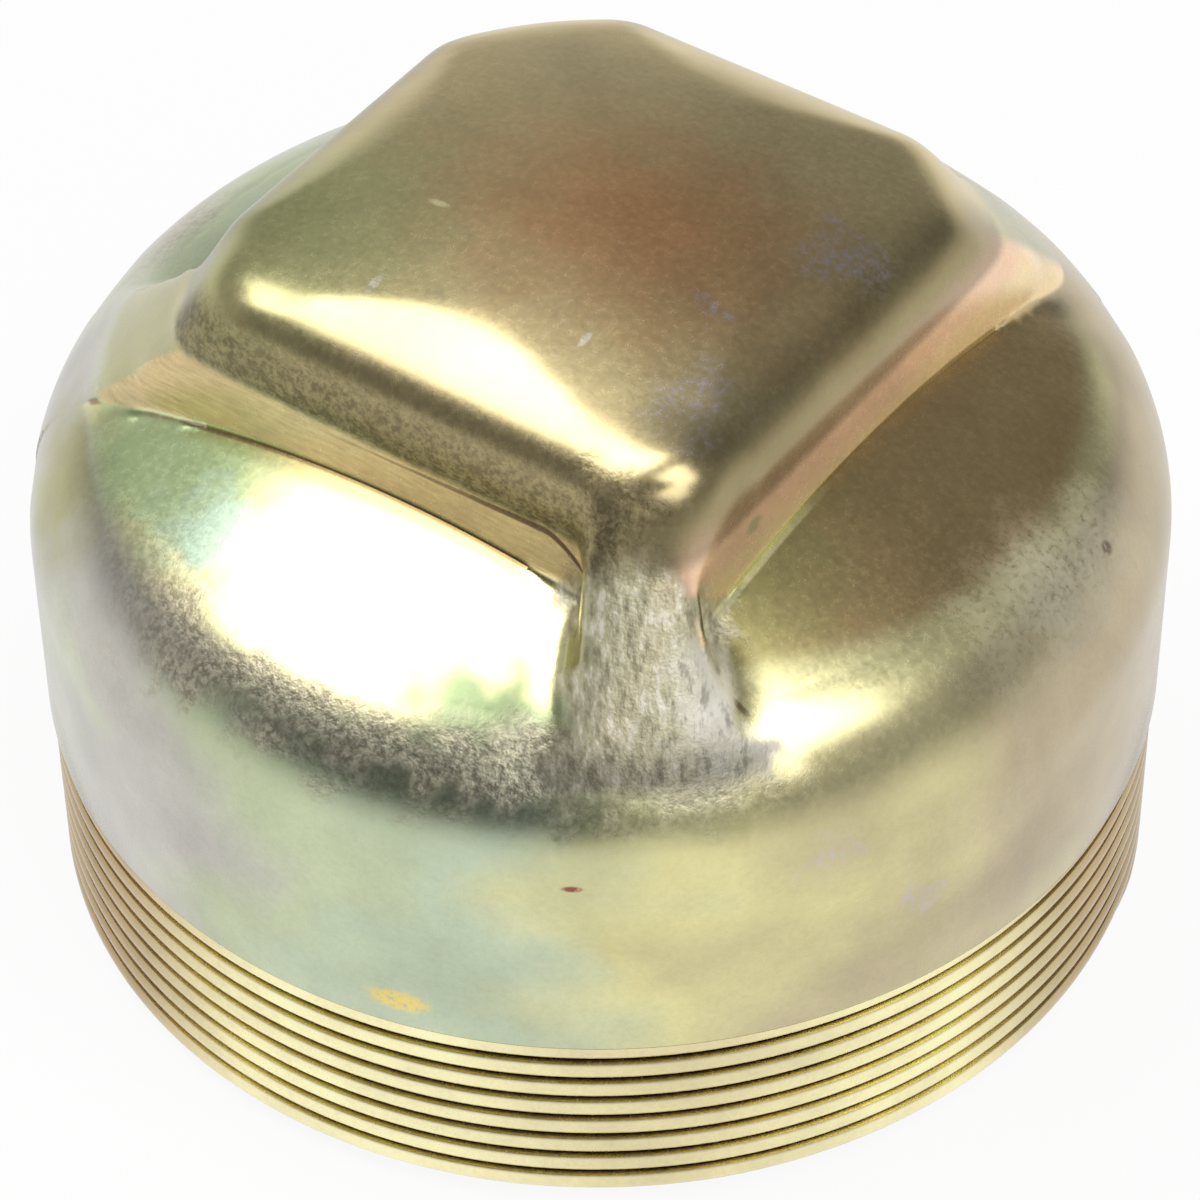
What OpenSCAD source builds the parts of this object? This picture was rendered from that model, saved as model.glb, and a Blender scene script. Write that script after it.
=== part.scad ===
// Hub grease cap: one cup pressed from thick steel sheet, open at the bottom.
// The open rim stands on z = 0 and the wrench square points up.

/* [Cup] */
// outside diameter of the plain side wall
body_d = 62.4; // [60:0.2:66]
// diameter over the crests of the threaded skirt
thread_d = 62; // [58:0.2:62]
// height of the threaded skirt
skirt_h = 12.7; // [10:0.1:15]
// chamfer round the outside of the open rim
rim_chamfer = 0.8; // [0.4:0.1:1.2]
// width of the groove where the thread runs out under the plain wall
runout_w = 0.8; // [0.7:0.1:1.2]
// depth of that groove, which is also the depth of the thread
runout_depth = 0.9; // [0.7:0.1:1.1]
// chamfer round the inside of the open rim
bore_chamfer = 0.4; // [0.2:0.1:0.8]
// thickness of the sheet
sheet_t = 2.5; // [2:0.1:2.8]
// height at which the side wall turns into the shoulder
wall_h = 23.5; // [21:0.5:25]
// radius of the shoulder
shoulder_r = 8.6; // [7:0.2:10]
// radius of the shallow crown that the pressings lie on
crown_r = 66; // [55:1:90]

/* [Wrench square] */
// distance of the two front walls of the square from the axis
front_w = 16.3; // [15.5:0.1:16.8]
// distance of the back wall on the left from the axis
left_w = 17.9; // [16.5:0.1:18.4]
// distance of the back wall on the right from the axis
right_w = 17.8; // [16.5:0.1:18.4]
// height of the middle of the pad above the rim
overall_h = 44.3; // [43.5:0.1:45.5]
// radius of the slightly domed top of the pad
top_r = 75; // [60:1:100]
// radius of the pad's upper edges, where they roll over
roll_r = 12; // [9:0.5:14]
// radius of those edges further down, where they meet the walls
edge_r = 3.4; // [3.2:0.1:4.5]
// how steep the edges are where one radius takes over from the other, in degrees
edge_turn = 33; // [25:1:45]

/* [Corner ridges] */
// slope of the ridges from the pad down to the shoulder, in degrees
ridge_slope = 51; // [48:1:55]
// radius between the top of the pad and the ridges
nose_r = 3.2; // [3.2:0.1:6]
// distance of the upper end of the ridges from the middle of the pad, along a wall
ridge_start = 12.5; // [12.2:0.1:13.5]
// distance from the middle of a wall to a ridge that cuts its pressing short
short_end = 10.7; // [10:0.1:12]
// distance from the middle of a wall to the front ridge on its other side
front_end = 14.6; // [13:0.1:15.5]
// distance from the middle of a wall to the back ridge
back_end = 12.6; // [11:0.1:14]
// how much the outer end of a ridge spreads to one side, in degrees
ridge_flare = 20; // [10:1:26]

/* [Hidden] */
$fn = 60;
body_r = body_d / 2;
thread_r = thread_d / 2;
reach = 16;
// how far neighbouring curved faces overlap, so that they meet in one clean edge
seam = 0.02;
// how far the sides of a ridge start inside the square
inset = 0.3;
edge_lift = 0.05;
knuckle_x = body_r - shoulder_r;
// middle of the crown sphere, so that the shoulder runs into it
crown_z = wall_h - sqrt(pow(crown_r - shoulder_r, 2) - pow(knuckle_x, 2));
// where the sloping ridge leaves the shoulder
slope_x = knuckle_x + shoulder_r * sin(ridge_slope);
slope_z = wall_h + shoulder_r * cos(ridge_slope);
top_z = overall_h + seam - top_r;

// middle of the nose circle, which touches the slope and the domed top
function nose_x(c, q) = let (k = tan(ridge_slope), b = c / cos(ridge_slope) - top_z)
    (k * b - sqrt(pow(k * b, 2) - (1 + k * k) * (b * b - q * q))) / (1 + k * k);

// plain cup with the shallow crown, drawn t inside the outer face
module crown_half(t) {
    r = shoulder_r - t;
    touch_x = knuckle_x + r * knuckle_x / (crown_r - shoulder_r);
    square([body_r - t, wall_h]);
    translate([knuckle_x, wall_h]) circle(r);
    intersection() {
        translate([0, crown_z - seam]) circle(crown_r - t);
        square([touch_x, overall_h]);
    }
}

// cup as it is before its sides are pressed in, drawn t inside the outer face
module dome_half(t) {
    s = ridge_slope;
    c = slope_x * sin(s) + slope_z * cos(s) - t;
    r = nose_r - t;
    nx = nose_x(c - r, top_r - nose_r);
    nz = (c - r - nx * sin(s)) / cos(s);
    // the sloping side, and the middle of the pad above the nose
    u = t + seam;
    polygon([[0, wall_h / 2], [slope_x - u * sin(s), wall_h / 2],
             [slope_x - u * sin(s), slope_z - u * cos(s)],
             [nx + (r - seam) * sin(s), nz + (r - seam) * cos(s)], [0, nz + (r - seam) * cos(s)]]);
    translate([nx, nz]) circle(r);
    intersection() {
        translate([0, top_z - seam]) circle(top_r - t);
        translate([0, wall_h / 2]) square([nx + r * nx / (top_r - nose_r), overall_h]);
    }
}

// cross-section of one side of the pad, drawn t inside the outer face
module side_half(w, t) {
    // middle of the lower radius, then of the upper one, which runs into the domed top
    lx = w - edge_r;
    ux = lx - (roll_r - edge_r) * sin(edge_turn);
    uz = top_z + sqrt(pow(top_r - roll_r, 2) - pow(ux, 2)) + edge_lift;
    lz = uz + (roll_r - edge_r) * cos(edge_turn) + seam;
    nx = ux / (top_r - roll_r);
    translate([lx, lz]) circle(edge_r - t);
    intersection() {
        translate([ux, uz]) circle(roll_r - t);
        polygon([[ux, uz], [ux + 2 * roll_r * sin(edge_turn + 1), uz + 2 * roll_r * cos(edge_turn + 1)],
                 [-1, uz + 2 * roll_r], [-1, uz]]);
    }
    polygon([[-1, wall_h / 2], [w - t, wall_h / 2], [w - t, lz],
             [lx + (edge_r - t) * sin(edge_turn) - seam, lz + (edge_r - t) * cos(edge_turn) - seam],
             [ux + (roll_r - t) * nx, uz + (roll_r - t) * (uz - top_z) / (top_r - roll_r)],
             [-1, overall_h - t + 1]]);
}

// long bar with two rounded upper edges, which gives one pair of walls
module bar(w, t) {
    rotate([90, 0, 0]) translate([0, 0, -front_w - 3]) linear_extrude(2 * front_w + 6) {
        side_half(front_w, t);
        mirror([1, 0]) side_half(w, t);
    }
}

// square pad, drawn t inside the outer face
module pad(t) {
    intersection() {
        bar(left_w, t);
        rotate([0, 0, -90]) bar(right_w, t);
        rotate_extrude() dome_half(t);
    }
}

// ridge at one corner, between a wall w1 from the axis, which it meets at a, and one at w2, met at b
module ridge(turn, w1, a, slant_a, w2, b, slant_b) {
    rotate([0, 0, turn]) intersection() {
        rotate_extrude() dome_half(0);
        translate([0, 0, wall_h]) linear_extrude(overall_h) polygon([
            [ridge_start, -ridge_start],
            [a - inset * sin(slant_a), -w1 + inset * cos(slant_a)],
            [a + reach * sin(slant_a), -w1 - reach * cos(slant_a)],
            [w2 + reach * sin(slant_b), -b - reach * cos(slant_b)],
            [w2 - inset * sin(slant_b), -b + inset * cos(slant_b)]]);
    }
}

module grease_cap() {
    color([0.72, 0.68, 0.48]) difference() {
        union() {
            // threaded skirt, which runs on inside the plain wall
            cylinder(h = rim_chamfer, r1 = thread_r - rim_chamfer, r2 = thread_r);
            translate([0, 0, rim_chamfer]) cylinder(h = skirt_h - runout_w - rim_chamfer, r = thread_r);
            cylinder(h = skirt_h + 1, r = thread_r - runout_depth);
            // plain wall, shoulder and crown
            rotate_extrude() intersection() {
                crown_half(0);
                translate([0, skirt_h]) square([body_r, overall_h]);
            }
            pad(0);
            ridge(0, front_w, short_end, ridge_flare + 6, front_w, front_end, 74 - ridge_flare);
            ridge(90, front_w, right_w, 90, right_w, short_end, 90 + ridge_flare);
            ridge(180, right_w, back_end, 51 - ridge_flare, left_w, back_end, 39 + ridge_flare);
            ridge(270, left_w, short_end, -ridge_flare, front_w, left_w, 0);
        }
        // inside of the cup and of the square
        translate([0, 0, -1]) cylinder(h = 3, r = body_r - sheet_t);
        rotate_extrude() crown_half(sheet_t);
        pad(sheet_t);
        translate([0, 0, -0.01]) cylinder(h = bore_chamfer + 0.01,
            r1 = body_r - sheet_t + bore_chamfer, r2 = body_r - sheet_t);
    }
}

grease_cap();
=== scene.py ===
# Hub grease cap: a pressed steel cup with a fine thread and a raised wrench square
import bpy
import bmesh
import math
from mathutils import Vector, Matrix


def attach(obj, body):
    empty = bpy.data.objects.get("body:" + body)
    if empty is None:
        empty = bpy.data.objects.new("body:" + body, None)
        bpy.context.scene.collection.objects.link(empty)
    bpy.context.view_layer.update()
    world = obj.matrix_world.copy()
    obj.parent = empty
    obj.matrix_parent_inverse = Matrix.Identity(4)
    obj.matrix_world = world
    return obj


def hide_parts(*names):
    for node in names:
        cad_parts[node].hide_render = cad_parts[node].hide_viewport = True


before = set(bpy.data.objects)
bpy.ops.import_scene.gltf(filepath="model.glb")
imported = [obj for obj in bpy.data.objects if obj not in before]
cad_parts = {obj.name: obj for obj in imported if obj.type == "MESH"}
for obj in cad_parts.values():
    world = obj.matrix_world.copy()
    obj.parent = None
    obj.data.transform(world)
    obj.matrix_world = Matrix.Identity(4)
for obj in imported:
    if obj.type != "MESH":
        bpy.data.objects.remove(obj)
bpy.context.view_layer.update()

mm = 0.001
scene = bpy.context.scene

# sizes in millimetres, the outside sizes unless the name says otherwise
cup = {
    "wallRadius": 31.2,
    "threadRadius": 31.0,    # over the crests
    "rootRadius": 30.1,
    "threadTop": 13.2,       # above this the thread's ridge sinks into the wall
    "skirtHeight": 12.7,     # where the plain wall ends
    "rimChamfer": 0.8,
    "boreChamfer": 0.4,
    "sheet": 2.5,            # thickness of the steel
    "wallHeight": 23.5,      # where the shoulder starts
    "shoulderRadius": 8.6,
    "crownRadius": 66.0,
    "joinHeight": 21.6,      # where the plain wall meets the pressed top
    "steps": 360,            # faces round the wall
}


def deselectAll():
    if bpy.context.object and bpy.context.object.mode != "OBJECT":
        bpy.ops.object.mode_set(mode="OBJECT")
    bpy.ops.object.select_all(action="DESELECT")


def pick(*objects):
    deselectAll()
    for o in objects:
        o.select_set(True)
    bpy.context.view_layer.objects.active = objects[0]


def inEdit(obj, action="SELECT"):
    pick(obj)
    bpy.ops.object.mode_set(mode="EDIT")
    bpy.ops.mesh.select_all(action=action)


def outlineFrom(name, points):
    # a ring of vertices set to the given (across, along) points, in the XZ plane
    deselectAll()
    bpy.ops.mesh.primitive_circle_add(vertices=len(points), radius=0.01, fill_type="NOTHING")
    obj = bpy.context.object
    obj.name = name
    obj.data.name = name
    for v, (x, z) in zip(obj.data.vertices, points):
        v.co = (x * mm, 0, z * mm)
    return obj


def spunSolid(name, points, steps):
    # turns a closed outline about the axis and merges its points on the axis
    obj = outlineFrom(name, points)
    inEdit(obj)
    bpy.ops.mesh.spin(steps=steps, angle=2 * math.pi, center=(0, 0, 0), axis=(0, 0, 1))
    bpy.ops.mesh.select_all(action="SELECT")
    bpy.ops.mesh.remove_doubles(threshold=1e-6)
    bpy.ops.mesh.delete_loose()
    bpy.ops.mesh.select_all(action="SELECT")
    bpy.ops.mesh.dissolve_degenerate(threshold=1e-6)
    bpy.ops.mesh.select_all(action="SELECT")
    bpy.ops.mesh.normals_make_consistent(inside=False)
    bpy.ops.object.mode_set(mode="OBJECT")
    return obj


def prism(name, points, depth, flat):
    # extrudes a closed outline: a flat one lies in XY and goes up, the others go along Y
    obj = outlineFrom(name, points)
    inEdit(obj)
    bpy.ops.mesh.edge_face_add()
    bpy.ops.mesh.extrude_region_move(TRANSFORM_OT_translate={"value": (0, depth * mm, 0)})
    bpy.ops.object.mode_set(mode="OBJECT")
    if flat:
        # (across, depth, along) becomes (across, along, depth)
        obj.data.transform(Matrix(((1, 0, 0, 0), (0, 0, 1, 0), (0, 1, 0, 0), (0, 0, 0, 1))))
    else:
        obj.data.transform(Matrix.Translation((0, -depth * mm / 2, 0)))
    inEdit(obj)
    bpy.ops.mesh.normals_make_consistent(inside=False)
    bpy.ops.object.mode_set(mode="OBJECT")
    return obj


def copyOf(obj, name):
    pick(obj)
    bpy.ops.object.duplicate()
    new = bpy.context.object
    new.name = name
    new.data.name = name
    return new


def applied(obj, kind, **settings):
    # adds a modifier, sets it and applies it at once
    m = obj.modifiers.new("step", kind)
    for key, value in settings.items():
        setattr(m, key, value)
    pick(obj)
    bpy.ops.object.modifier_apply(modifier=m.name)
    return obj


def drop(*objects):
    for o in objects:
        data = o.data
        bpy.data.objects.remove(o)
        if data.users == 0:
            bpy.data.meshes.remove(data)


def arc(cx, cz, r, start, end, steps):
    # angles in degrees from the upward direction, clockwise
    out = []
    for i in range(steps + 1):
        a = math.radians(start + (end - start) * i / steps)
        out.append((cx + r * math.sin(a), cz + r * math.cos(a)))
    return out


def eased(value, low, high):
    # 0 below low and 1 above high, smooth between them; also the other way round
    t = max(0.0, min(1.0, (value - low) / (high - low)))
    return t * t * (3 - 2 * t)


# middle of the shoulder's circle, and middle of the crown's, which runs into it
shoulderX = cup["wallRadius"] - cup["shoulderRadius"]
crownReach = cup["crownRadius"] - cup["shoulderRadius"]
crownZ = cup["wallHeight"] - math.sqrt(crownReach ** 2 - shoulderX ** 2)


def crownSection(t, low):
    # plain cup with the shallow crown, drawn t inside the outer face
    lean = math.degrees(math.asin(shoulderX / crownReach))
    points = [(0.0, low)] + arc(0, crownZ, cup["crownRadius"] - t, 0, lean, 24)
    points += arc(shoulderX, cup["wallHeight"], cup["shoulderRadius"] - t, lean, 90, 28)[1:]
    points += [(cup["wallRadius"] - t, low)]
    return points


def crownHeight(r):
    # height of the crown, or of the shoulder, at a distance from the axis
    if r <= shoulderX + cup["shoulderRadius"] * shoulderX / crownReach:
        return crownZ + math.sqrt(cup["crownRadius"] ** 2 - r * r)
    return cup["wallHeight"] + math.sqrt(max(cup["shoulderRadius"] ** 2 - (r - shoulderX) ** 2, 0.0))


pad = {
    "frontWall": 16.3,
    "leftWall": 17.9,        # the back wall on the left
    "rightWall": 17.8,       # the back wall on the right
    "height": 44.3,
    "topRadius": 75.0,
    "rollRadius": 12.0,      # upper part of the pad's rolled edges
    "edgeRadius": 3.4,       # lower part of them
    "edgeTurn": 33.0,        # slope where one radius takes over from the other
    "noseRadius": 3.2,
}
# each ridge: its turn about the axis, then for each of its two walls how far the wall is from the
# axis, where the ridge meets it and how the side of the ridge slants there
ridges = {
    "slope": 51.0,           # from the pad down to the shoulder, in degrees
    "start": 12.5,
    "reach": 18.0,           # length of the plan of a ridge, past the shoulder
    "corners": [
        {"turn": 0, "wallA": 16.3, "a": 10.7, "slantA": 26, "wallB": 16.3, "b": 14.6, "slantB": 54},
        {"turn": 90, "wallA": 16.3, "a": 17.8, "slantA": 90, "wallB": 17.8, "b": 10.7, "slantB": 110},
        {"turn": 180, "wallA": 17.8, "a": 12.6, "slantA": 31, "wallB": 17.9, "b": 12.6, "slantB": 59},
        {"turn": 270, "wallA": 17.9, "a": 10.7, "slantA": -20, "wallB": 16.3, "b": 17.9, "slantB": 0},
    ],
}


def domeSection(t, low):
    # the cup before its sides are pressed in, drawn t inside the outer face
    s = math.radians(ridges["slope"])
    sx = shoulderX + cup["shoulderRadius"] * math.sin(s)
    sz = cup["wallHeight"] + cup["shoulderRadius"] * math.cos(s)
    topZ = pad["height"] - pad["topRadius"]
    c = sx * math.sin(s) + sz * math.cos(s) - t
    r = pad["noseRadius"] - t
    q = pad["topRadius"] - pad["noseRadius"]
    k = math.tan(s)
    b = (c - r) / math.cos(s) - topZ
    nx = (k * b - math.sqrt((k * b) ** 2 - (1 + k * k) * (b * b - q * q))) / (1 + k * k)
    nz = (c - r - nx * math.sin(s)) / math.cos(s)
    lean = math.degrees(math.asin(nx / q))
    points = [(0.0, low)] + arc(0, topZ, pad["topRadius"] - t, 0, lean, 16)
    points += arc(nx, nz, r, lean, ridges["slope"], 12)[1:]
    points += [(sx - t * math.sin(s), sz - t * math.cos(s)), (sx - t * math.sin(s), low)]
    return points


def barSection(backWall, t, low):
    # cross-section of the pad: two walls under rolled edges, the back one on the left
    topZ = pad["height"] - pad["topRadius"]
    turn = math.radians(pad["edgeTurn"])
    roll, edge = pad["rollRadius"], pad["edgeRadius"]
    sides = []
    for w in (pad["frontWall"], backWall):
        lx = w - edge
        ux = lx - (roll - edge) * math.sin(turn)
        uz = topZ + math.sqrt((pad["topRadius"] - roll) ** 2 - ux ** 2)
        lz = uz + (roll - edge) * math.cos(turn)
        lean = math.degrees(math.asin(ux / (pad["topRadius"] - roll)))
        side = [(w - t, low)] + arc(lx, lz, edge - t, 90, pad["edgeTurn"], 12)
        sides.append(side + arc(ux, uz, roll - t, pad["edgeTurn"], lean, 14)[1:])
    back = [(-x, z) for x, z in reversed(sides[1])]
    return sides[0] + [(0.0, pad["height"] - t + 1.2)] + back


def ridgePlan(corner):
    # outline of a ridge in plan, before it is turned to its corner
    reach = ridges["reach"]
    a, b = math.radians(corner["slantA"]), math.radians(corner["slantB"])
    start, wallA, wallB = ridges["start"], corner["wallA"], corner["wallB"]
    return [
        (start, -start), (corner["a"], -wallA),
        (corner["a"] + reach * math.sin(a), -wallA - reach * math.cos(a)),
        (wallB + reach * math.sin(b), -corner["b"] - reach * math.cos(b)),
        (wallB, -corner["b"]),
    ]


def solidTop(t):
    # crown, square pad and, for the outside, the four corner ridges, as overlapping solids
    low = 8.0
    crown = spunSolid("crown", crownSection(t, low), 256)
    dome = spunSolid("dome", domeSection(t, low), 256)
    square = copyOf(dome, "square")
    for turn, backWall in ((0, pad["leftWall"]), (-90, pad["rightWall"])):
        bar = prism("bar", barSection(backWall, t, low - 1), 44, False)
        bar.data.transform(Matrix.Rotation(math.radians(turn), 4, "Z"))
        applied(square, "BOOLEAN", operation="INTERSECT", solver="EXACT", object=bar)
        drop(bar)
    parts = [crown, square]
    if t == 0:
        for i, corner in enumerate(ridges["corners"]):
            one = copyOf(dome, "ridge%d" % i)
            plan = prism("plan", ridgePlan(corner), 60, True)
            plan.data.transform(Matrix.Rotation(math.radians(corner["turn"]), 4, "Z"))
            applied(one, "BOOLEAN", operation="INTERSECT", solver="EXACT", object=plan)
            drop(plan)
            parts.append(one)
    drop(dome)
    pick(*parts)
    bpy.ops.object.join()
    return crown


def cutBelow(obj, height):
    # takes away all that lies under a height and leaves the edge open
    inEdit(obj)
    bpy.ops.mesh.bisect(plane_co=(0, 0, height * mm), plane_no=(0, 0, 1), clear_inner=True, clear_outer=False)
    bpy.ops.object.mode_set(mode="OBJECT")
    return obj


surface = {
    "outerGrid": 0.31,       # size of the faces of the pressed top
    "innerGrid": 0.66,
    "firstPasses": 2,        # smoothing of all of it, of the pad's edges and of the ridges' sides
    "edgePasses": 16,
    "flankPasses": 130,
    "cornerPasses": 110,
    "innerPasses": 6,
    "padZ": (37.9, 40.0),    # the pad's edges take all the smoothing above this
    "cornerWidth": (8.0, 11.5),
    "cornerZ": (35.5, 38.5),
    "flankWidth": (3.8, 1.6),
    "flankStart": (-0.6, 2.4),
    "creaseWidth": (0.25, 1.0),
    # corners of the pad that stand out further than the ridge under them: place, way, height and width
    "bulges": [((14.3, -13.2, 41.0), (0.45, -0.40, 0.80), 0.8, 4.5),
               ((-15.2, -14.6, 41.2), (-0.55, -0.40, 0.73), 1.0, 5.0)],
    "clearWidth": (2.2, 4.2),    # plain faces this far from the ridges get their true size back
    "clearZ": (29.5, 26.5),      # and so does the shoulder under a ridge
    "shoulderStart": 25.5,
    "nearCrease": 0.33,          # what lies this near to a crease goes onto it
    "nearFace": 0.5,
    "nearWall": 0.45,
    "nearShoulder": (0.22, 0.1),
}


def inPlan(corner, x, y):
    # a point turned back to the place of the first corner
    turn = math.radians(-corner["turn"])
    return x * math.cos(turn) - y * math.sin(turn), x * math.sin(turn) + y * math.cos(turn)


def flankDistance(x, y):
    # how far a point is, in plan, from the nearest side of a ridge, and how far out along it
    best = (99.0, 0.0)
    for corner in ridges["corners"]:
        px, py = inPlan(corner, x, y)
        for sx, sy, slant in ((corner["a"], -corner["wallA"], corner["slantA"]),
                              (corner["wallB"], -corner["b"], corner["slantB"])):
            ux, uy = math.sin(math.radians(slant)), -math.cos(math.radians(slant))
            along = (px - sx) * ux + (py - sy) * uy
            across = math.hypot((px - sx) * uy - (py - sy) * ux, min(0.0, along))
            if across < best[0]:
                best = (across, along)
    return best


def onRidge(x, y):
    # whether a point lies, in plan, between the two sides of a ridge
    for corner in ridges["corners"]:
        px, py = inPlan(corner, x, y)
        slantA, slantB = math.radians(corner["slantA"]), math.radians(corner["slantB"])
        insideA = math.sin(slantA) * (py + corner["wallA"]) + math.cos(slantA) * (px - corner["a"]) > 0
        insideB = math.sin(slantB) * (py + corner["b"]) + math.cos(slantB) * (px - corner["wallB"]) < 0
        if insideA and insideB and px > 8 and py < -8:
            return True
    return False


def wallDistance(x, y):
    # how far a point lies outside the square, in plan, and which of its coordinates says so
    gaps = [(x - pad["frontWall"], 0, pad["frontWall"]), (-x - pad["leftWall"], 0, -pad["leftWall"]),
            (-y - pad["frontWall"], 1, -pad["frontWall"]), (y - pad["rightWall"], 1, pad["rightWall"])]
    return max(gaps)


def markGroups(top):
    # weights for the smoothing of the pad's edges, of the ridges' sides and of the pad's corners
    edges = top.vertex_groups.new(name="edges")
    flanks = top.vertex_groups.new(name="flanks")
    corners = top.vertex_groups.new(name="corners")
    cornerLow, cornerFoot = surface["cornerWidth"][0], surface["cornerZ"][0]
    for v in top.data.vertices:
        x, y, z = v.co.x / mm, v.co.y / mm, v.co.z / mm
        gap = abs(wallDistance(x, y)[0])
        across, along = flankDistance(x, y)
        crease = eased(gap, *surface["creaseWidth"]) if z < 37.0 and math.hypot(x, y) < 26.0 else 1.0
        edges.add([v.index], 0.3 * crease if z < 38.5 else eased(z, *surface["padZ"]), "REPLACE")
        inward = min(abs(x), abs(y))
        if inward > cornerLow and z > cornerFoot:
            amount = eased(inward, *surface["cornerWidth"]) * eased(z, *surface["cornerZ"])
            corners.add([v.index], amount, "REPLACE")
        amount = eased(across, *surface["flankWidth"]) * eased(along, *surface["flankStart"])
        if z < 37.5 and amount > 0.01:
            flanks.add([v.index], amount * (0.3 + 0.7 * crease), "REPLACE")


def trueSize(v):
    # smoothing draws curved faces in a little, so the plain faces go back to their true size
    x, y, z = v.co.x / mm, v.co.y / mm, v.co.z / mm
    r = math.hypot(x, y)
    if z < cup["wallHeight"]:
        k = cup["wallRadius"] / r
        v.co = (x * k * mm, y * k * mm, z * mm)
        return
    clear = eased(flankDistance(x, y)[0], *surface["clearWidth"])
    if onRidge(x, y):
        clear = eased(z, *surface["clearZ"])
    if r > surface["shoulderStart"]:
        dx, dz = r - shoulderX, z - cup["wallHeight"]
        d = math.hypot(dx, dz)
        near = eased(abs(d - cup["shoulderRadius"]), *surface["nearShoulder"])
        k = 1 + (cup["shoulderRadius"] / d - 1) * near * clear
        nr = shoulderX + dx * k
        v.co = (x * nr / r * mm, y * nr / r * mm, (cup["wallHeight"] + dz * k) * mm)
        return
    gap, axis, wall = wallDistance(x, y)
    rise = z - crownHeight(r)
    if math.hypot(gap, rise) < surface["nearCrease"]:
        v.co[axis] += (wall * mm - v.co[axis]) * clear
        v.co.z += (crownHeight(v.co.xy.length / mm) * mm - v.co.z) * clear
    elif gap > rise:
        v.co.z -= rise * eased(abs(rise), surface["nearFace"], surface["nearCrease"]) * clear * mm
    elif z < 38.0:
        near = eased(abs(gap), surface["nearWall"], surface["nearCrease"])
        v.co[axis] += (wall * mm - v.co[axis]) * near * clear


def makeTop():
    top = applied(solidTop(0.0), "REMESH", mode="VOXEL", voxel_size=surface["outerGrid"] * mm,
                  use_smooth_shade=True)
    applied(top, "SMOOTH", factor=0.5, iterations=surface["firstPasses"])
    markGroups(top)
    applied(top, "SMOOTH", factor=0.5, iterations=surface["edgePasses"], vertex_group="edges")
    applied(top, "SMOOTH", factor=0.5, iterations=surface["flankPasses"], vertex_group="flanks")
    for center, way, rise, width in surface["bulges"]:
        for v in top.data.vertices:
            near = (v.co / mm - Vector(center)).length / width
            if near < 1.0:
                v.co += Vector(way).normalized() * (rise * (1 - near * near) ** 2 * mm)
    applied(top, "SMOOTH", factor=0.5, iterations=surface["cornerPasses"], vertex_group="corners")
    top.vertex_groups.clear()
    cutBelow(top, cup["joinHeight"])
    for v in top.data.vertices:
        trueSize(v)
    inEdit(top)
    bpy.ops.mesh.remove_doubles(threshold=0.07 * mm)
    bpy.ops.mesh.select_all(action="SELECT")
    bpy.ops.mesh.dissolve_degenerate(threshold=0.01 * mm)
    bpy.ops.object.mode_set(mode="OBJECT")
    return top


def makeInside():
    inside = applied(solidTop(cup["sheet"]), "REMESH", mode="VOXEL", voxel_size=surface["innerGrid"] * mm,
                     use_smooth_shade=True)
    applied(inside, "SMOOTH", factor=0.5, iterations=surface["innerPasses"])
    cutBelow(inside, cup["joinHeight"] - 1.2)
    for v in inside.data.vertices:
        if v.co.z / mm < cup["wallHeight"] - 0.5:
            k = (cup["wallRadius"] - cup["sheet"]) * mm / v.co.xy.length
            v.co = (v.co.x * k, v.co.y * k, v.co.z)
    inEdit(inside)
    bpy.ops.mesh.flip_normals()
    bpy.ops.object.mode_set(mode="OBJECT")
    return inside


def makeWall():
    # plain wall, core of the thread, rim and bore, as one open section turned about the axis
    w, root, low = cup["wallRadius"], cup["rootRadius"], cup["skirtHeight"]
    bore = w - cup["sheet"]
    points = [
        (w, cup["joinHeight"] - 0.25), (w, 18.0), (w, low + 0.26),
        (w - 0.05, low + 0.09), (w - 0.17, low + 0.01), (w - 0.35, low - 0.02),
        (root + 0.1, low - 0.04), (root, low - 0.12), (root, 6.0), (root, 1.2), (root, 0.35),
        (root - 0.3, 0.03), (root - 0.45, 0.0), (bore + cup["boreChamfer"], 0.0),
        (bore, cup["boreChamfer"]), (bore, 8.0), (bore, cup["joinHeight"] - 1.45),
    ]
    obj = outlineFrom("grease_cap_shell", points)
    # the ring is opened between its last point and its first
    inEdit(obj, "DESELECT")
    bpy.ops.object.mode_set(mode="OBJECT")
    last = len(points) - 1
    for e in obj.data.edges:
        e.select = set(e.vertices) == {0, last}
    pick(obj)
    bpy.ops.object.mode_set(mode="EDIT")
    bpy.ops.mesh.select_mode(type="EDGE")
    bpy.ops.mesh.delete(type="EDGE_FACE")
    bpy.ops.mesh.select_mode(type="VERT")
    bpy.ops.mesh.select_all(action="SELECT")
    bpy.ops.mesh.spin(steps=cup["steps"], angle=2 * math.pi, center=(0, 0, 0), axis=(0, 0, 1))
    bpy.ops.mesh.select_all(action="SELECT")
    bpy.ops.mesh.remove_doubles(threshold=1e-6)
    bpy.ops.mesh.normals_make_consistent(inside=False)
    bpy.ops.object.mode_set(mode="OBJECT")
    return obj


def openRings(obj, low, high, rLow, rHigh):
    # selects the open edges between two heights and two radii
    inEdit(obj, "DESELECT")
    bpy.ops.mesh.select_mode(type="EDGE")
    bm = bmesh.from_edit_mesh(obj.data)
    count = 0
    for e in bm.edges:
        if not e.is_boundary:
            continue
        mid = (e.verts[0].co + e.verts[1].co) / 2
        if low * mm < mid.z < high * mm and rLow * mm < mid.xy.length < rHigh * mm:
            e.select_set(True)
            count += 1
    bmesh.update_edit_mesh(obj.data)
    return count


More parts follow.
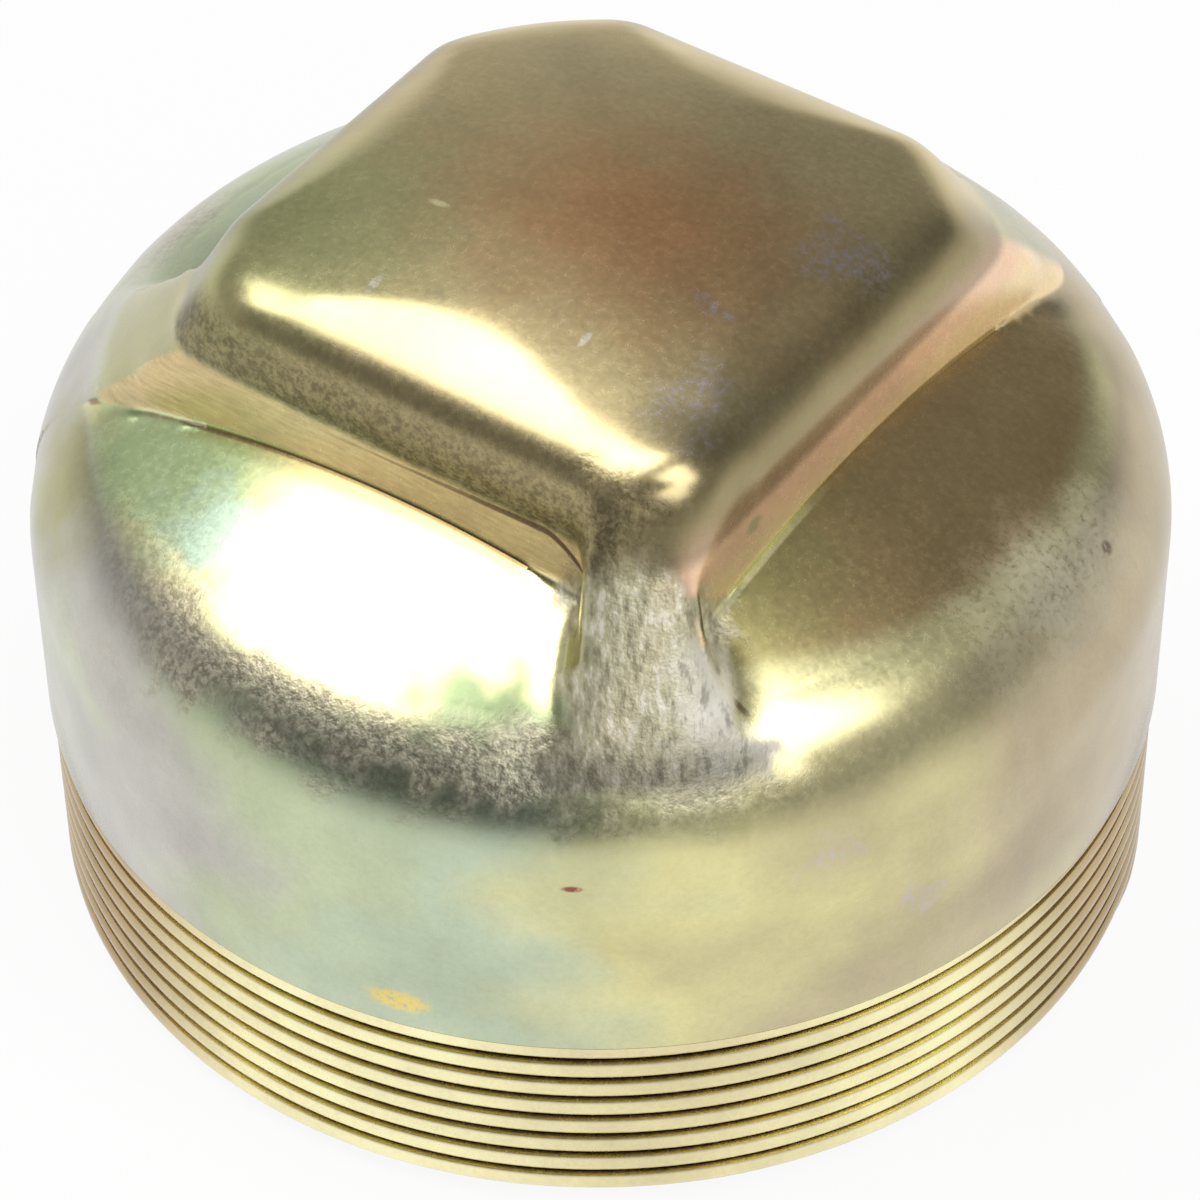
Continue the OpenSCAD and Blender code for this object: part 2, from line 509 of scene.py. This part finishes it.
def makeShell():
    top = makeTop()
    print("pressed top", len(top.data.polygons))
    inside = makeInside()
    print("inside", len(inside.data.polygons))
    shell = makeWall()
    pick(shell, top, inside)
    bpy.ops.object.join()
    for low, high, rLow, rHigh in (
            (cup["joinHeight"] - 0.5, cup["joinHeight"] + 0.3, 30.5, 31.8),
            (cup["joinHeight"] - 1.7, cup["joinHeight"] - 0.9, 28.0, 29.4)):
        count = openRings(shell, low, high, rLow, rHigh)
        bpy.ops.mesh.bridge_edge_loops()
        bpy.ops.object.mode_set(mode="OBJECT")
        print("bridged", count)
    inEdit(shell)
    bpy.ops.mesh.normals_make_consistent(inside=False)
    bpy.ops.object.mode_set(mode="OBJECT")
    pick(shell)
    bpy.ops.object.shade_smooth_by_angle(angle=math.radians(50))
    return shell


thread = {
    "pitch": 1.5,
    "crest": 1.04,           # width of the worn crest
    "root": 1.34,            # width of the ridge at its foot
    "wear": 0.07,            # how far the crest is rounded off
    "stepsPerTurn": 180,
    "start": 0.5,            # height of the first crest and of the last one
    "end": 13.3,
    "foot": 29.95,
    "runIn": 0.35,           # angle over which the first turn rises out of the root
    "firstTurn": 1.28,       # height under which only that part of the ridge lies
}


def makeThread():
    # one ridge of the thread, carried round and up the skirt
    crest, foot = cup["threadRadius"], thread["foot"]
    half, top = thread["root"] / 2, thread["crest"] / 2
    low = cup["rootRadius"] + 0.06
    wear = thread["wear"]
    section = [(foot, -half), (low, -half * 0.94), (crest - 2 * wear, -top), (crest - wear, -top * 0.82),
               (crest, -top * 0.35), (crest, top * 0.35), (crest - wear, top * 0.82), (crest - 2 * wear, top),
               (low, half * 0.94), (foot, half)]
    obj = outlineFrom("grease_cap_thread", [(r, z + thread["start"]) for r, z in section])
    turns = (thread["end"] - thread["start"]) / thread["pitch"]
    steps = int(thread["stepsPerTurn"] * turns)
    applied(obj, "SCREW", axis="Z", angle=2 * math.pi * turns, screw_offset=thread["pitch"] * mm * turns,
            steps=steps, render_steps=steps, use_normal_calculate=True)
    # the lower end runs out in the rim's chamfer and the upper one inside the wall
    depth = crest - cup["rootRadius"]
    for v in obj.data.vertices:
        x, y, z = v.co.x / mm, v.co.y / mm, v.co.z / mm
        r = math.hypot(x, y)
        limit = min(crest - max(0.0, cup["rimChamfer"] - z), crest - max(0.0, z - cup["threadTop"]) * 3)
        if z < thread["firstTurn"]:
            limit = min(limit, cup["rootRadius"] + depth * abs(math.atan2(y, x)) / thread["runIn"])
        if r > limit:
            v.co = (x * limit / r * mm, y * limit / r * mm, z * mm)
        v.co.z = max(v.co.z, 0.02 * mm)
    inEdit(obj)
    bpy.ops.mesh.remove_doubles(threshold=1e-7)
    bpy.ops.mesh.select_all(action="DESELECT")
    bpy.ops.mesh.select_mode(type="EDGE")
    bpy.ops.mesh.select_non_manifold(extend=False, use_wire=False, use_boundary=True, use_multi_face=False,
                                     use_non_contiguous=False, use_verts=False)
    bpy.ops.mesh.edge_face_add()
    bpy.ops.mesh.select_mode(type="VERT")
    bpy.ops.mesh.select_all(action="SELECT")
    bpy.ops.mesh.normals_make_consistent(inside=False)
    bpy.ops.object.mode_set(mode="OBJECT")
    pick(obj)
    bpy.ops.object.shade_smooth_by_angle(angle=math.radians(40))
    return obj


print("modelling the cap")
shell = makeShell()
threadRidge = makeThread()
print("shell faces", len(shell.data.polygons), "thread faces", len(threadRidge.data.polygons))


# linear base colours of the passivated steel, painted shade and painted highlight colours among them
finish = {
    "wallLilac": (0.52, 0.50, 0.45),
    "wallGreen": (0.54, 0.60, 0.39),
    "wallBlue": (0.52, 0.60, 0.44),
    "wallYellow": (0.72, 0.67, 0.34),
    "wallKhaki": (0.50, 0.42, 0.28),
    "padKhaki": (0.64, 0.53, 0.28),
    "padRose": (0.70, 0.40, 0.19),
    "padGreen": (0.50, 0.50, 0.24),
    "scuff": (0.56, 0.52, 0.40),
    "violet": (0.56, 0.50, 0.52),
    "faceGreen": (0.62, 0.76, 0.40),
    "faceCyan": (0.64, 0.80, 0.60),
    # painted shade: the face's green, darkened
    "faceShadedGreen": (0.279, 0.342, 0.18),
    "faceGold": (0.88, 0.82, 0.44),
    "faceBrown": (0.58, 0.43, 0.21),
    "faceOlive": (0.50, 0.44, 0.19),
    "shoulderBrown": (0.66, 0.58, 0.44),
    "ridgeGrey": (0.56, 0.52, 0.35),
    # pale scratches, and a painted highlight on the front ridge
    "ridgeWhite": (0.88, 0.84, 0.74),
    "ridgeOlive": (0.46, 0.44, 0.25),
    "stripTan": (0.98, 0.76, 0.44),
    "stripPale": (0.64, 0.50, 0.25),
    "stripPink": (0.96, 0.66, 0.44),
    # a painted highlight for the right crease, also used for a small mark on the pad, then painted shade for
    # the left crease
    "creaseHighlightAndMarkYellow": (0.95, 0.90, 0.48),
    "creaseShadeBrown": (0.24, 0.12, 0.06),
    "threadGold": (0.98, 0.90, 0.54),
    # painted shade for the thread's sides and middle, then painted shade for its roots and the fold, also
    # used for one dark mark
    "threadShadeTan": (0.46, 0.34, 0.18),
    "darkShadeAndMark": (0.10, 0.05, 0.045),
    "markRed": (0.30, 0.06, 0.05),
    "markYellow": (0.92, 0.68, 0.16),
    "roughness": 0.17,       # where it is smoothest
    "grainRoughness": 0.16,  # what the grain, the rough places and the scuffs add to it
    "roughAdds": 0.16,
    "scuffAdds": 0.14,
    "grainHeight": 0.05,
}
# where the tints lie, in millimetres: colour, middle, radii, and the full part of the radius
tints = {
    # from the left of the wall to its right
    "wall": [(0.24, "wallLilac"), (0.34, "wallGreen"), (0.42, "wallBlue"), (0.55, "wallYellow"),
             (0.72, "wallKhaki")],
    "pad": [("padGreen", (-13, -9, 43), (13, 13, 12), 0.1), ("padRose", (3.0, 0.0, 44), (16, 12, 9), 0.0)],
    "leftFace": [("faceGreen", (-14, -19, 32), (11, 7, 6), 0.35),
                 ("faceCyan", (-8.5, -21.5, 32), (6, 3.5, 5), 0.35),
                 # painted shade at the lower right of the left face
                 ("faceShadedGreen", (10, -24.0, 31), (7, 4, 4), 0.35)],
    "violet": [((12.8, 4.6, 43), (3.5, 3.0, 3), 0.35), ((12.2, -9.0, 42.8), (3.2, 4.0, 3), 0.1),
               ((9.0, -2.9, 43.6), (2.0, 1.2, 2), 0.1), ((25.9, -17.2, 24.7), (2.5, 2.5, 1.8), 0.1),
               ((28.7, -12.3, 19.8), (2, 2.2, 2.4), 0.1)],
    # small marks: colour, strength, middle and radii
    "marks": [("creaseHighlightAndMarkYellow", 0.8, (-6.8, -4.6, 43.8), (0.8, 0.3, 0.6)),
              ("ridgeWhite", 0.6, (-6.2, -11.1, 43.1), (0.35, 0.9, 0.6)),
              ("ridgeWhite", 0.6, (5.5, -8.9, 43.5), (0.3, 0.8, 0.6)),
              ("markRed", 0.9, (16.6, -26.2, 24.9), (0.8, 0.6, 0.25)),
              ("markYellow", 0.8, (8.2, -30.1, 14.7), (2.4, 1.5, 1.0)),
              ("darkShadeAndMark", 0.7, (28.1, 6.2, 29.4), (0.6, 0.6, 0.5)),
              ("ridgeOlive", 0.7, (16.3, -9.5, 36.9), (0.6, 0.9, 0.7))],
}


def newMaterial(name):
    mat = bpy.data.materials.new(name)
    mat.use_nodes = True
    return mat


def feed(tree, socket, value):
    if isinstance(value, bpy.types.NodeSocket):
        tree.links.new(value, socket)
    elif isinstance(value, (tuple, list)) and len(value) == 3 and len(socket.default_value) == 4:
        socket.default_value = (*value, 1)
    else:
        socket.default_value = value


def calc(tree, how, a, b=0.0):
    n = tree.nodes.new("ShaderNodeMath")
    n.operation = how
    feed(tree, n.inputs[0], a)
    feed(tree, n.inputs[1], b)
    return n.outputs[0]


def vectorCalc(tree, how, a, b=(0, 0, 0), output=0):
    n = tree.nodes.new("ShaderNodeVectorMath")
    n.operation = how
    feed(tree, n.inputs[0], a)
    feed(tree, n.inputs[1], b)
    return n.outputs[output]


def fade(tree, value, low, high):
    # 0 at low and 1 at high, smooth between them
    n = tree.nodes.new("ShaderNodeMapRange")
    n.interpolation_type = "SMOOTHSTEP"
    feed(tree, n.inputs[0], value)
    n.inputs[1].default_value, n.inputs[2].default_value = low, high
    n.inputs[3].default_value, n.inputs[4].default_value = 0.0, 1.0
    return n.outputs[0]


def band(tree, value, low, full, fullEnd, high):
    # rises from low to full and falls again from fullEnd to high
    return calc(tree, "MULTIPLY", fade(tree, value, low, full), fade(tree, value, high, fullEnd))


def product(tree, *masks):
    out = masks[0]
    for m in masks[1:]:
        out = calc(tree, "MULTIPLY", out, m)
    return out


def offset(tree, value, factor, start):
    # value times factor, plus start
    return calc(tree, "ADD", calc(tree, "MULTIPLY", value, factor), start)


def less(tree, mask, amount):
    # 1 where the mask is 0, and that much less where it is 1
    return calc(tree, "SUBTRACT", 1.0, calc(tree, "MULTIPLY", mask, amount))


def near(tree, value, at, outer, inner):
    # 1 within inner of a value and 0 beyond outer
    return fade(tree, calc(tree, "ABSOLUTE", calc(tree, "SUBTRACT", value, at)), outer, inner)


def most(tree, *masks):
    out = masks[0]
    for m in masks[1:]:
        out = calc(tree, "MAXIMUM", out, m)
    return out


def mixed(tree, amount, a, b):
    n = tree.nodes.new("ShaderNodeMix")
    n.data_type = "RGBA"
    feed(tree, n.inputs[0], amount)
    feed(tree, n.inputs[6], a)
    feed(tree, n.inputs[7], b)
    return n.outputs[2]


def grain(tree, where, scale, detail=2.0, rough=0.5, stretch=None, color=False):
    # noise with about one blotch for each 1/scale millimetre
    if stretch:
        where = vectorCalc(tree, "MULTIPLY", where, stretch)
    n = tree.nodes.new("ShaderNodeTexNoise")
    feed(tree, n.inputs["Vector"], where)
    n.inputs["Scale"].default_value = scale
    n.inputs["Detail"].default_value = detail
    n.inputs["Roughness"].default_value = rough
    return n.outputs["Color" if color else "Fac"]


def spot(tree, where, center, radii, inner=0.35):
    # 1 in the middle of an ellipsoid and 0 outside it
    off = vectorCalc(tree, "SUBTRACT", where, center)
    off = vectorCalc(tree, "DIVIDE", off, radii)
    return fade(tree, vectorCalc(tree, "LENGTH", off, output=1), 1.0, inner)


def scaled(tree, color, amount):
    n = tree.nodes.new("ShaderNodeVectorMath")
    n.operation = "SCALE"
    feed(tree, n.inputs[0], color)
    feed(tree, n.inputs["Scale"], amount)
    return n.outputs[0]


def ramp(tree, value, stops):
    n = tree.nodes.new("ShaderNodeValToRGB")
    feed(tree, n.inputs[0], value)
    elements = n.color_ramp.elements
    while len(elements) < len(stops):
        elements.new(0.5)
    for element, (at, color) in zip(elements, stops):
        element.position = at
        element.color = (*color, 1)
    return n.outputs[0]


def makeSteel():
    mat = newMaterial("passivatedSteel")
    tree = mat.node_tree
    shader = tree.nodes["Principled BSDF"]
    coords = tree.nodes.new("ShaderNodeTexCoord").outputs["Object"]
    place = vectorCalc(tree, "MULTIPLY", coords, (1000, 1000, 1000))
    # the same place pushed about by noise, for uneven outlines
    push = vectorCalc(tree, "SUBTRACT", grain(tree, place, 0.4, 1, 0.62, color=True), (0.5, 0.5, 0.5))
    loose = vectorCalc(tree, "ADD", place, vectorCalc(tree, "MULTIPLY", push, (5, 5, 5)))

    def towards(where, way):
        return vectorCalc(tree, "DOT_PRODUCT", where, way, output=1)

    def fromAxis(where):
        return vectorCalc(tree, "LENGTH", vectorCalc(tree, "MULTIPLY", where, (1, 1, 0)), output=1)

    split = tree.nodes.new("ShaderNodeSeparateXYZ")
    feed(tree, split.inputs[0], place)
    x, y, z = split.outputs
    radius, looseRadius = fromAxis(place), fromAxis(loose)
    # height above the crown
    top = crownZ + cup["crownRadius"]
    fall = calc(tree, "DIVIDE", calc(tree, "MULTIPLY", radius, radius), 2 * cup["crownRadius"])
    lift = calc(tree, "SUBTRACT", z, calc(tree, "SUBTRACT", top, fall))
    # from the corner on the left to the one on the right
    side, looseSide = towards(place, (0.814, 0.581, 0.0)), towards(loose, (0.814, 0.581, 0.0))
    fine = grain(tree, place, 2.3, 2, 0.72)
    blotch = grain(tree, place, 0.16, 2, 0.6)

    # plain wall: slanting streaks of lilac, green, blue and yellow, khaki on the right
    streak = calc(tree, "SUBTRACT", grain(tree, place, 0.07, 2, 0.5, stretch=(1.0, 1.0, 1.6)), 0.5)
    shift = calc(tree, "ADD", calc(tree, "MULTIPLY", streak, 0.4), offset(tree, side, 0.0095, 0.5))
    color = ramp(tree, shift, [(at, finish[tint]) for at, tint in tints["wall"]])
    # ridges and the shoulder between them
    onRidges = product(tree, fade(tree, lift, 0.3, 1.2), fade(tree, z, 28.5, 31.5))
    color = mixed(tree, onRidges, color, finish["ridgeOlive"])

    # pad, with a rose brown middle and a green side on the left
    padColor = finish["padKhaki"]
    for tint, center, radii, inner in tints["pad"]:
        padColor = mixed(tree, spot(tree, loose, center, radii, inner), padColor, finish[tint])
    color = mixed(tree, fade(tree, z, 36.8, 38.8), color, padColor)

    # the two pressed faces in front, with a painted shade that dims the lower right of the left one
    face = product(tree, fade(tree, lift, 0.5, 0.2), fade(tree, z, 30.0, 31.2))
    leftColor = finish["faceGold"]
    for tint, center, radii, inner in tints["leftFace"]:
        leftColor = mixed(tree, spot(tree, loose, center, radii, inner), leftColor, finish[tint])
    color = mixed(tree, product(tree, face, fade(tree, y, -16.2, -16.4)), color, leftColor)
    brown = mixed(tree, fade(tree, looseSide, 8, 15), finish["faceOlive"], finish["faceBrown"])
    edge = calc(tree, "ADD", radius, calc(tree, "MULTIPLY", calc(tree, "SUBTRACT", side, 12), -0.12))
    rightColor = mixed(tree, fade(tree, edge, 25.4, 23.6), finish["faceGold"], brown)
    rightFace = product(tree, face, fade(tree, x, 16.2, 16.4), fade(tree, y, 20, 16))
    color = mixed(tree, rightFace, color, rightColor)

    # the walls under the pad
    above = fade(tree, lift, 0.15, 0.4)
    scratches = grain(tree, place, 1.6, 3, 0.6, stretch=(0.35, 1.0, 2.6))
    leftStrip = product(tree, above, fade(tree, y, -15.7, -16.0), fade(tree, y, -16.75, -16.45),
                        fade(tree, z, 38.0, 37.2))
    tan = mixed(tree, fade(tree, x, -6, -14), finish["stripTan"], finish["stripPale"])
    color = mixed(tree, leftStrip, color, scaled(tree, tan, offset(tree, scratches, 0.9, 0.6)))
    rightStrip = product(tree, above, fade(tree, x, 14.8, 16.0), fade(tree, x, 16.75, 16.45),
                         fade(tree, z, 40.5, 37.5))
    pink = mixed(tree, fade(tree, z, 35.2, 36.8), finish["stripTan"], finish["stripPink"])
    color = mixed(tree, rightStrip, color, pink)
    # the creases at their feet: a painted highlight, yellow, on the right and painted shade, brown, on the
    # left
    crease = product(tree, near(tree, x, 16.42, 0.32, 0.12), fade(tree, lift, 0.5, 0.25),
                     band(tree, y, -17.5, -15.5, -7.0, -2.0))
    color = mixed(tree, crease, color, finish["creaseHighlightAndMarkYellow"])
    foot = product(tree, near(tree, lift, 0.0, 0.22, 0.06), band(tree, y, -16.6, -16.4, -16.25, -16.1))
    color = mixed(tree, product(tree, foot, 0.7), color, finish["creaseShadeBrown"])

    # front ridge, rough where the steel was stretched, with pale scratches down it, nearly white on its
    # right, where the white is a painted highlight
    across = (0.77, 0.64, 0.0)
    join = tree.nodes.new("ShaderNodeCombineXYZ")
    feed(tree, join.inputs[0], calc(tree, "MULTIPLY", towards(place, across), 1.5))
    feed(tree, join.inputs[1], calc(tree, "MULTIPLY", towards(place, (0.49, -0.6, -0.63)), 0.55))
    hatch = grain(tree, join.outputs[0], 1.0, 3, 0.7)
    offCenter = calc(tree, "ABSOLUTE", calc(tree, "SUBTRACT", towards(loose, across), 0.5))
    halfWidth = offset(tree, calc(tree, "SUBTRACT", 33.5, z), 0.46, 4.1)
    ridge = product(tree, fade(tree, calc(tree, "SUBTRACT", offCenter, halfWidth), 0.7, -0.5),
                    band(tree, z, 28.6, 30.2, 36.5, 40.0),
                    fade(tree, towards(place, (0.64, -0.77, 0.0)), 15, 19))
    white = most(tree, spot(tree, loose, (20.4, -17.0, 32.4), (4.6, 4.6, 6.5), 0.3),
                 product(tree, fade(tree, hatch, 0.50, 0.66), 0.7))
    ridgeColor = mixed(tree, white, finish["ridgeGrey"], finish["ridgeWhite"])
    color = mixed(tree, product(tree, ridge, 0.92), color, ridgeColor)

    # dark grainy shoulder, under the left face above all, and the pad's lower edge: the grain is the steel's
    # own, while the darkening of the band, of the pad's lower edge and of a spot under the pad's front corner
    # is painted shade
    front = product(tree, fade(tree, looseSide, -28, -20), fade(tree, y, 8, -6))
    shoulder = product(tree, band(tree, looseRadius, 25.2, 27.8, 28.6, 30.4),
                       band(tree, z, 26.2, 28.2, 31.0, 32.4), front)
    grainAndShadeBand = product(tree, shoulder, fade(tree, looseSide, 12, 1), less(tree, ridge, 0.5))
    underPadShade = product(tree, band(tree, z, 37.3, 38.0, 39.8, 41.3), fade(tree, y, -13, -15),
                       fade(tree, x, 14, 12))
    nose = product(tree, spot(tree, loose, (11.6, -15.6, 40.3), (3.2, 2.6, 2.8)), 0.7)
    dark = most(tree, grainAndShadeBand, underPadShade, nose)
    rough = most(tree, dark, calc(tree, "MULTIPLY", ridge, 0.9))
    leftEnd = spot(tree, loose, (-21, -20.5, 29.5), (8, 8, 6.5), 0.2)
    color = mixed(tree, product(tree, leftEnd, fade(tree, face, 0.6, 0.1)), color, finish["ridgeOlive"])
    color = mixed(tree, product(tree, grainAndShadeBand, 0.7), color, finish["shoulderBrown"])
    # painted shade along the pad's right edge and along its back edges
    backEdgeShade = product(tree, most(tree, fade(tree, x, -14.5, -17.0), fade(tree, y, 14.5, 17.0)),
                       fade(tree, z, 37.5, 39.0), fade(tree, side, 8, 0))
    padEdgeShade = most(tree, product(tree, fade(tree, x, 12.6, 15.2), fade(tree, z, 37.4, 38.4)), backEdgeShade)
    mottle = fade(tree, fine, 0.66, 0.34)
    # the colour is darkened by painted shade on the pad's edges, on the shoulder band and under the pad, by
    # the ridge's scratches, and towards the ridge's bottom
    shade = product(tree, less(tree, padEdgeShade, 0.45), less(tree, product(tree, dark, mottle), 0.42),
                    less(tree, underPadShade, 0.42),
                    less(tree, product(tree, ridge, fade(tree, hatch, 0.52, 0.34)), 0.45),
                    less(tree, product(tree, ridge, fade(tree, z, 32.2, 29.4)), 0.62))
    color = scaled(tree, color, shade)

    # fold that runs along the top of the left wall and drops into the ridge, drawn as a thin line of painted
    # shade
    foldLine = calc(tree, "SUBTRACT", offset(tree, x, 0.03, 37.2),
                    calc(tree, "MULTIPLY", fade(tree, x, 8.0, 12.4), 2.5))
    width = offset(tree, fade(tree, x, -4, 11), 0.22, 0.12)
    offFold = calc(tree, "ABSOLUTE", calc(tree, "SUBTRACT", z, foldLine))
    fold = product(tree, fade(tree, calc(tree, "DIVIDE", offFold, width), 1.0, 0.4),
                   fade(tree, y, -15.4, -15.8), band(tree, x, -9.5, -5.0, 12.2, 12.8),
                   fade(tree, y, -18.2, -17.6), fade(tree, x, -12, 9), 0.85)
    color = mixed(tree, fold, color, finish["darkShadeAndMark"])

    # scuffs: pale and rough on the right shoulder, violet on the pad and the wall
    scuffed = product(tree, spot(tree, loose, (27.6, 2.0, 30.4), (5.4, 11.0, 5.0), 0.0),
                      fade(tree, fine, 0.1, 0.6))
    color = mixed(tree, product(tree, scuffed, 0.75), color, finish["scuff"])
    violet = most(tree, *[spot(tree, loose, *where) for where in tints["violet"]])
    color = mixed(tree, product(tree, violet, fade(tree, fine, 0.34, 0.66), 0.8), color, finish["violet"])
    for tint, amount, center, radii in tints["marks"]:
        mark = product(tree, spot(tree, place, center, radii, 0.4), fade(tree, fine, 0.3, 0.5), amount)
        color = mixed(tree, mark, color, finish[tint])

    # skirt: golden crests over painted shade in the roots, with painted shade, tan, at the far sides and in
    # the middle
    sideShade = fade(tree, calc(tree, "ABSOLUTE", side), 18, 28)
    gold = mixed(tree, sideShade, finish["threadGold"], finish["threadShadeTan"])
    gold = mixed(tree, product(tree, near(tree, side, 3, 12, 2), 0.35), gold, finish["threadShadeTan"])
    grooveShade = product(tree, fade(tree, radius, 30.66, 30.48), fade(tree, z, 12.68, 12.6))
    gold = mixed(tree, grooveShade, gold, finish["darkShadeAndMark"])
    onSkirt = product(tree, fade(tree, z, 12.72, 12.6), fade(tree, radius, 29.4, 29.7))
    color = mixed(tree, onSkirt, color, gold)

    # small uneven tones everywhere
    tone = product(tree, offset(tree, blotch, 0.5, 0.75), offset(tree, fine, 0.24, 0.88))
    feed(tree, shader.inputs["Base Color"], scaled(tree, color, tone))
    roughness = offset(tree, fine, finish["grainRoughness"], finish["roughness"])
    roughness = calc(tree, "ADD", roughness, calc(tree, "MULTIPLY", rough, finish["roughAdds"]))
    roughness = calc(tree, "ADD", roughness, calc(tree, "MULTIPLY", scuffed, finish["scuffAdds"]))
    feed(tree, shader.inputs["Roughness"], roughness)
    # scuffed zinc scatters light like a pale powder
    powder = most(tree, product(tree, ridge, offset(tree, white, 0.3, 0.5)), product(tree, scuffed, 0.4),
                  product(tree, most(tree, leftStrip, rightStrip), 0.42))
    feed(tree, shader.inputs["Metallic"], calc(tree, "SUBTRACT", 1.0, powder))

    # the strength says where it is rough, because the height is worked out three times
    bump = tree.nodes.new("ShaderNodeBump")
    bump.inputs["Distance"].default_value = 0.001
    feed(tree, bump.inputs["Strength"], offset(tree, rough, 0.9, 0.04))
    feed(tree, bump.inputs["Height"], calc(tree, "MULTIPLY", fine, finish["grainHeight"]))
    feed(tree, shader.inputs["Normal"], bump.outputs[0])
    return mat


steel = makeSteel()
for piece in (shell, threadRidge):
    piece.data.materials.clear()
    piece.data.materials.append(steel)
    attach(piece, "root")
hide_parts("grease_cap")
print("finished the steel")


studio = {
    "floorColor": (0.86, 0.86, 0.86),
    "floorLift": 0.92,       # how far the floor goes to plain white where the camera or a gloss sees it
    # overhead soft boxes: size, place and power
    "boxes": {"leftBox": ((0.69, 0.72), (-0.485, -0.06, 1.0), 4.8),
              "rightBox": ((0.83, 0.55), (0.535, -0.10, 1.0), 4.4),
              "noseBox": ((0.72, 0.60), (0.86, -0.63, 0.92), 3.6)},
    "sky": 0.40,
    "skyHalo": 0.62,         # round the overhead boxes
    "skyFront": 0.10,        # the dark side towards the camera
    "skyBack": 0.22,         # the side behind the cap
    "skyRim": 0.80,          # near the horizon
}


def makeFloor():
    deselectAll()
    bpy.ops.mesh.primitive_plane_add(size=6.0, location=(0, 0, 0))
    floor = bpy.context.object
    floor.name = "floor"
    mat = newMaterial("paleFloor")
    tree = mat.node_tree
    shader = tree.nodes["Principled BSDF"]
    shader.inputs["Base Color"].default_value = (*studio["floorColor"], 1)
    shader.inputs["Roughness"].default_value = 0.9
    glow = tree.nodes.new("ShaderNodeEmission")
    glow.inputs["Color"].default_value = (1, 1, 1, 1)
    glow.inputs["Strength"].default_value = 1.0
    path = tree.nodes.new("ShaderNodeLightPath")
    seen = calc(tree, "MAXIMUM", path.outputs["Is Camera Ray"], path.outputs["Is Glossy Ray"])
    seen = calc(tree, "MAXIMUM", seen, path.outputs["Is Transmission Ray"])
    mix = tree.nodes.new("ShaderNodeMixShader")
    feed(tree, mix.inputs[0], calc(tree, "MULTIPLY", seen, studio["floorLift"]))
    tree.links.new(shader.outputs[0], mix.inputs[1])
    tree.links.new(glow.outputs[0], mix.inputs[2])
    tree.links.new(mix.outputs[0], tree.nodes["Material Output"].inputs["Surface"])
    floor.data.materials.append(mat)
    return floor


def softLamp(name, place, aim, size, power):
    lamp = bpy.data.lights.new(name, "AREA")
    lamp.shape = "RECTANGLE"
    lamp.size, lamp.size_y = size
    lamp.energy = power
    obj = bpy.data.objects.new(name, lamp)
    scene.collection.objects.link(obj)
    obj.location = place
    direction = Vector(aim) - Vector(place)
    obj.rotation_euler = direction.to_track_quat("-Z", "Y").to_euler()
    return obj


def makeWorld():
    # a grey sky, darker in front and behind, paler near the horizon
    world = bpy.data.worlds.new("studio")
    scene.world = world
    world.use_nodes = True
    tree = world.node_tree
    back = tree.nodes["Background"]
    way = tree.nodes.new("ShaderNodeTexCoord").outputs["Generated"]

    def towards(direction, low, high):
        turned = vectorCalc(tree, "DOT_PRODUCT", way, Vector(direction).normalized(), output=1)
        return fade(tree, turned, low, high)

    def grey(value):
        return (value, value, value)

    color = mixed(tree, towards((-0.2, 0.12, 0.97), 0.78, 0.96), grey(studio["sky"]), grey(studio["skyHalo"]))
    color = mixed(tree, towards((0.1, -0.75, 0.66), 0.60, 0.92), color, grey(studio["skyFront"]))
    color = mixed(tree, towards((0.1, 0.76, 0.64), 0.74, 0.96), color, grey(studio["skyBack"]))
    color = mixed(tree, towards((0, 0, 1), 0.35, 0.05), color, grey(studio["skyRim"]))
    feed(tree, back.inputs["Color"], color)
    back.inputs["Strength"].default_value = 1.0
    return world


view = {
    "azimuth": 35.5,         # degrees from the -Y side towards +X
    "elevation": 43.38,
    "distance": 279.0,
    "focal": 5021.5 / 1200 * 36,
    "aimHeight": 18.6,
    "roll": -0.72,
    "up": -2.445,            # how far the aim lies off the middle of the picture, in millimetres
    "right": -0.098,
}


def makeCamera():
    a, e = math.radians(view["azimuth"]), math.radians(view["elevation"])
    back = Vector((math.sin(a) * math.cos(e), -math.cos(a) * math.cos(e), math.sin(e)))
    right = Vector((math.cos(a), math.sin(a), 0))
    up = back.cross(right)
    aim = Vector((0, 0, view["aimHeight"] * mm))
    place = aim + back * view["distance"] * mm
    aim += up * view["up"] * mm + right * view["right"] * mm
    back = (place - aim).normalized()
    right = Vector((0, 0, 1)).cross(back).normalized()
    up = back.cross(right)
    turn = Matrix((right, up, back)).transposed() @ Matrix.Rotation(math.radians(view["roll"]), 3, "Z")
    data = bpy.data.cameras.new("photoView")
    data.lens = view["focal"]
    data.sensor_width = 36
    data.clip_start = 0.01
    camera = bpy.data.objects.new("photoView", data)
    scene.collection.objects.link(camera)
    camera.matrix_world = Matrix.Translation(place) @ turn.to_4x4()
    scene.camera = camera
    return camera


print("setting the studio")
makeFloor()
for name, (size, place, power) in studio["boxes"].items():
    softLamp(name, place, (place[0], place[1], 0.0), size, power)
makeWorld()
makeCamera()
scene.view_settings.view_transform = "Standard"
